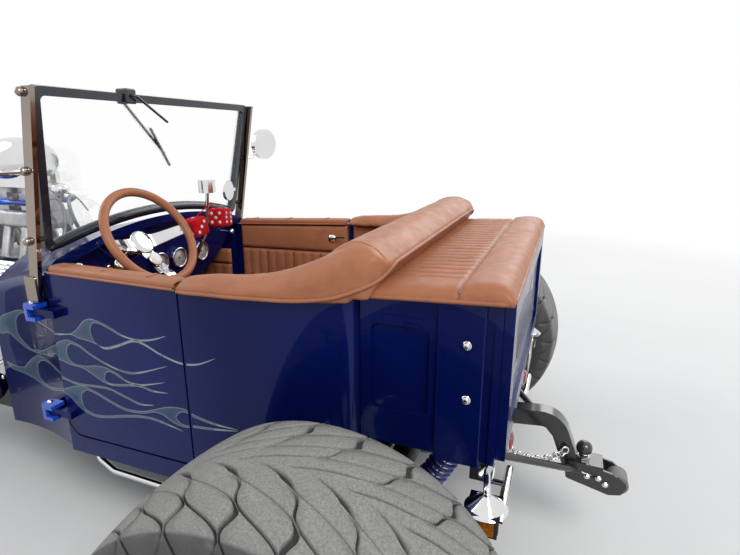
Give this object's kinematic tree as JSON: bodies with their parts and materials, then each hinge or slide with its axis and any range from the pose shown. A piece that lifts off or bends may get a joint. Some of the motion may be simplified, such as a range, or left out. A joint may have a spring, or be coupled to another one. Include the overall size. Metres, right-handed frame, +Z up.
{
  "type": "street rod roadster",
  "caption": "Open two-seat street rod roadster with an exposed engine, a short covered bed and very wide rear tyres, with turning wheels, steering and opening doors.",
  "frame": {"origin": "on the ground under the middle of the car's bounding box", "axes": "+X to the car's left, +Y to its rear, +Z up"},
  "size_m": [2.22, 3.4959, 1.4529],
  "materials": {
    "body_paint": "deep gloss",
    "chassis_paint": "satin",
    "chrome_plate": "polished",
    "cast_aluminium": "cast and polished",
    "engine_iron": "painted",
    "black_paint": "gloss",
    "clear_glass": "clear",
    "tan_leather": "smooth, worn",
    "tyre_rubber": "dusty",
    "dash_paint": "gloss",
    "gauge_trim": "bright bezels",
    "red_plush": "short pile"
  },
  "bodies": {
    "car": {"air_scoop": "chrome_plate", "bed_box": "body_paint", "belt_drive": "cast_aluminium", "bench_seat": "tan_leather", "bolster_roll": "tan_leather", "cowl_body": "body_paint", "dash_panel": "dash_paint", "drawbar": "black_paint", "engine_block": "engine_iron", "exhaust_headers": "chrome_plate", "floor_pan": "chassis_paint", "frame_rails": "chassis_paint", "front_axle": "chrome_plate", "front_suspension": "chrome_plate", "gauges_and_knobs": "gauge_trim", "gearbox_and_driveshaft": "chassis_paint", "grille_shell": "chrome_plate", "hanging_dice": "red_plush", "headlamps": "chrome_plate", "intake_and_carburettors": "cast_aluminium", "mirrors": "chrome_plate", "pedals": "black_paint", "radiator_core": "cast_aluminium", "rear_axle": "chassis_paint", "rear_bars_and_plate": "chrome_plate", "rear_body": "body_paint", "rear_lamps": "chrome_plate", "rear_suspension": "chrome_plate", "safety_chain": "chrome_plate", "shift_lever": "chrome_plate", "steering_column": "black_paint", "tailgate": "body_paint", "tonneau_cover": "tan_leather", "valve_covers": "chrome_plate", "wheelie_bar": "black_paint", "windscreen_frame": "black_paint", "windscreen_glass": "clear_glass", "windscreen_posts": "chrome_plate"},
    "left_door": {"door_left": "body_paint", "door_trim_left": "tan_leather"},
    "right_door": {"door_right": "body_paint", "door_trim_right": "tan_leather"},
    "left_knuckle": {"knuckle_left": "chrome_plate"},
    "right_knuckle": {"knuckle_right": "chrome_plate"},
    "steering_tie_rod": {"tie_rod": "chrome_plate"},
    "steering_pitman_arm": {"pitman_arm": "chrome_plate"},
    "steering_drag_link": {"drag_link": "chrome_plate"},
    "driver_steering_wheel": {"steering_wheel": "tan_leather"},
    "left_front_wheel": {"front_tyre_left": "tyre_rubber", "front_wheel_left": "chrome_plate"},
    "right_front_wheel": {"front_tyre_right": "tyre_rubber", "front_wheel_right": "chrome_plate"},
    "left_rear_wheel": {"rear_tyre_left": "tyre_rubber", "rear_wheel_left": "chrome_plate"},
    "right_rear_wheel": {"rear_tyre_right": "tyre_rubber", "rear_wheel_right": "chrome_plate"},
    "wheelie_bar_roller": {"wheelie_roller": "tyre_rubber"}
  },
  "joints": [
    {"name": "left_door_hinge", "type": "hinge", "parent": "car", "child": "left_door", "pos_m": [0.521, 0.016, 0.616], "axis": [0, 0, -1], "range_deg": [0, 65]},
    {"name": "right_door_hinge", "type": "hinge", "parent": "car", "child": "right_door", "pos_m": [-0.521, 0.016, 0.616], "axis": [0, 0, 1], "range_deg": [0, 65]},
    {"name": "steer_left", "type": "hinge", "parent": "car", "child": "left_knuckle", "pos_m": [0.555, -1.428, 0.32], "axis": [0, 0, 1], "range_deg": [-25, 25]},
    {"name": "steer_right", "type": "hinge", "parent": "car", "child": "right_knuckle", "pos_m": [-0.555, -1.428, 0.32], "axis": [0, 0, 1], "range_deg": [-25, 25]},
    {"name": "tie_rod_pivot", "type": "hinge", "parent": "left_knuckle", "child": "steering_tie_rod", "pos_m": [0.555, -1.278, 0.264], "axis": [0, 0, 1], "range_deg": [-25, 25]},
    {"name": "pitman_pivot", "type": "hinge", "parent": "car", "child": "steering_pitman_arm", "pos_m": [0.262, -1.146, 0.23], "axis": [0, 0, 1], "range_deg": [-25, 25]},
    {"name": "drag_link_pivot", "type": "hinge", "parent": "steering_pitman_arm", "child": "steering_drag_link", "pos_m": [0.262, -0.996, 0.208], "axis": [0, 0, 1], "range_deg": [-25, 25]},
    {"name": "steering_wheel_turn", "type": "hinge", "parent": "car", "child": "driver_steering_wheel", "pos_m": [0.24, 0.221, 0.985], "axis": [0, 0.8508, 0.5255], "range_deg": [-400, 400]},
    {"name": "left_front_wheel_spin", "type": "hinge", "parent": "left_knuckle", "child": "left_front_wheel", "pos_m": [0.645, -1.428, 0.32], "axis": [1, 0, 0], "continuous": true},
    {"name": "right_front_wheel_spin", "type": "hinge", "parent": "right_knuckle", "child": "right_front_wheel", "pos_m": [-0.645, -1.428, 0.32], "axis": [1, 0, 0], "continuous": true},
    {"name": "left_rear_wheel_spin", "type": "hinge", "parent": "car", "child": "left_rear_wheel", "pos_m": [0.915, 1.115, 0.393], "axis": [1, 0, 0], "continuous": true},
    {"name": "right_rear_wheel_spin", "type": "hinge", "parent": "car", "child": "right_rear_wheel", "pos_m": [-0.915, 1.115, 0.393], "axis": [1, 0, 0], "continuous": true},
    {"name": "roller_spin", "type": "hinge", "parent": "car", "child": "wheelie_bar_roller", "pos_m": [0, 1.718, 0.284], "axis": [1, 0, 0], "continuous": true}
  ],
  "couplings": [
    {"joint": "steer_right", "follows": "steer_left", "ratio": 1},
    {"joint": "tie_rod_pivot", "follows": "steer_left", "ratio": -1},
    {"joint": "pitman_pivot", "follows": "steer_left", "ratio": 1},
    {"joint": "drag_link_pivot", "follows": "steer_left", "ratio": -1},
    {"joint": "steering_wheel_turn", "follows": "steer_left", "ratio": 16}
  ]
}
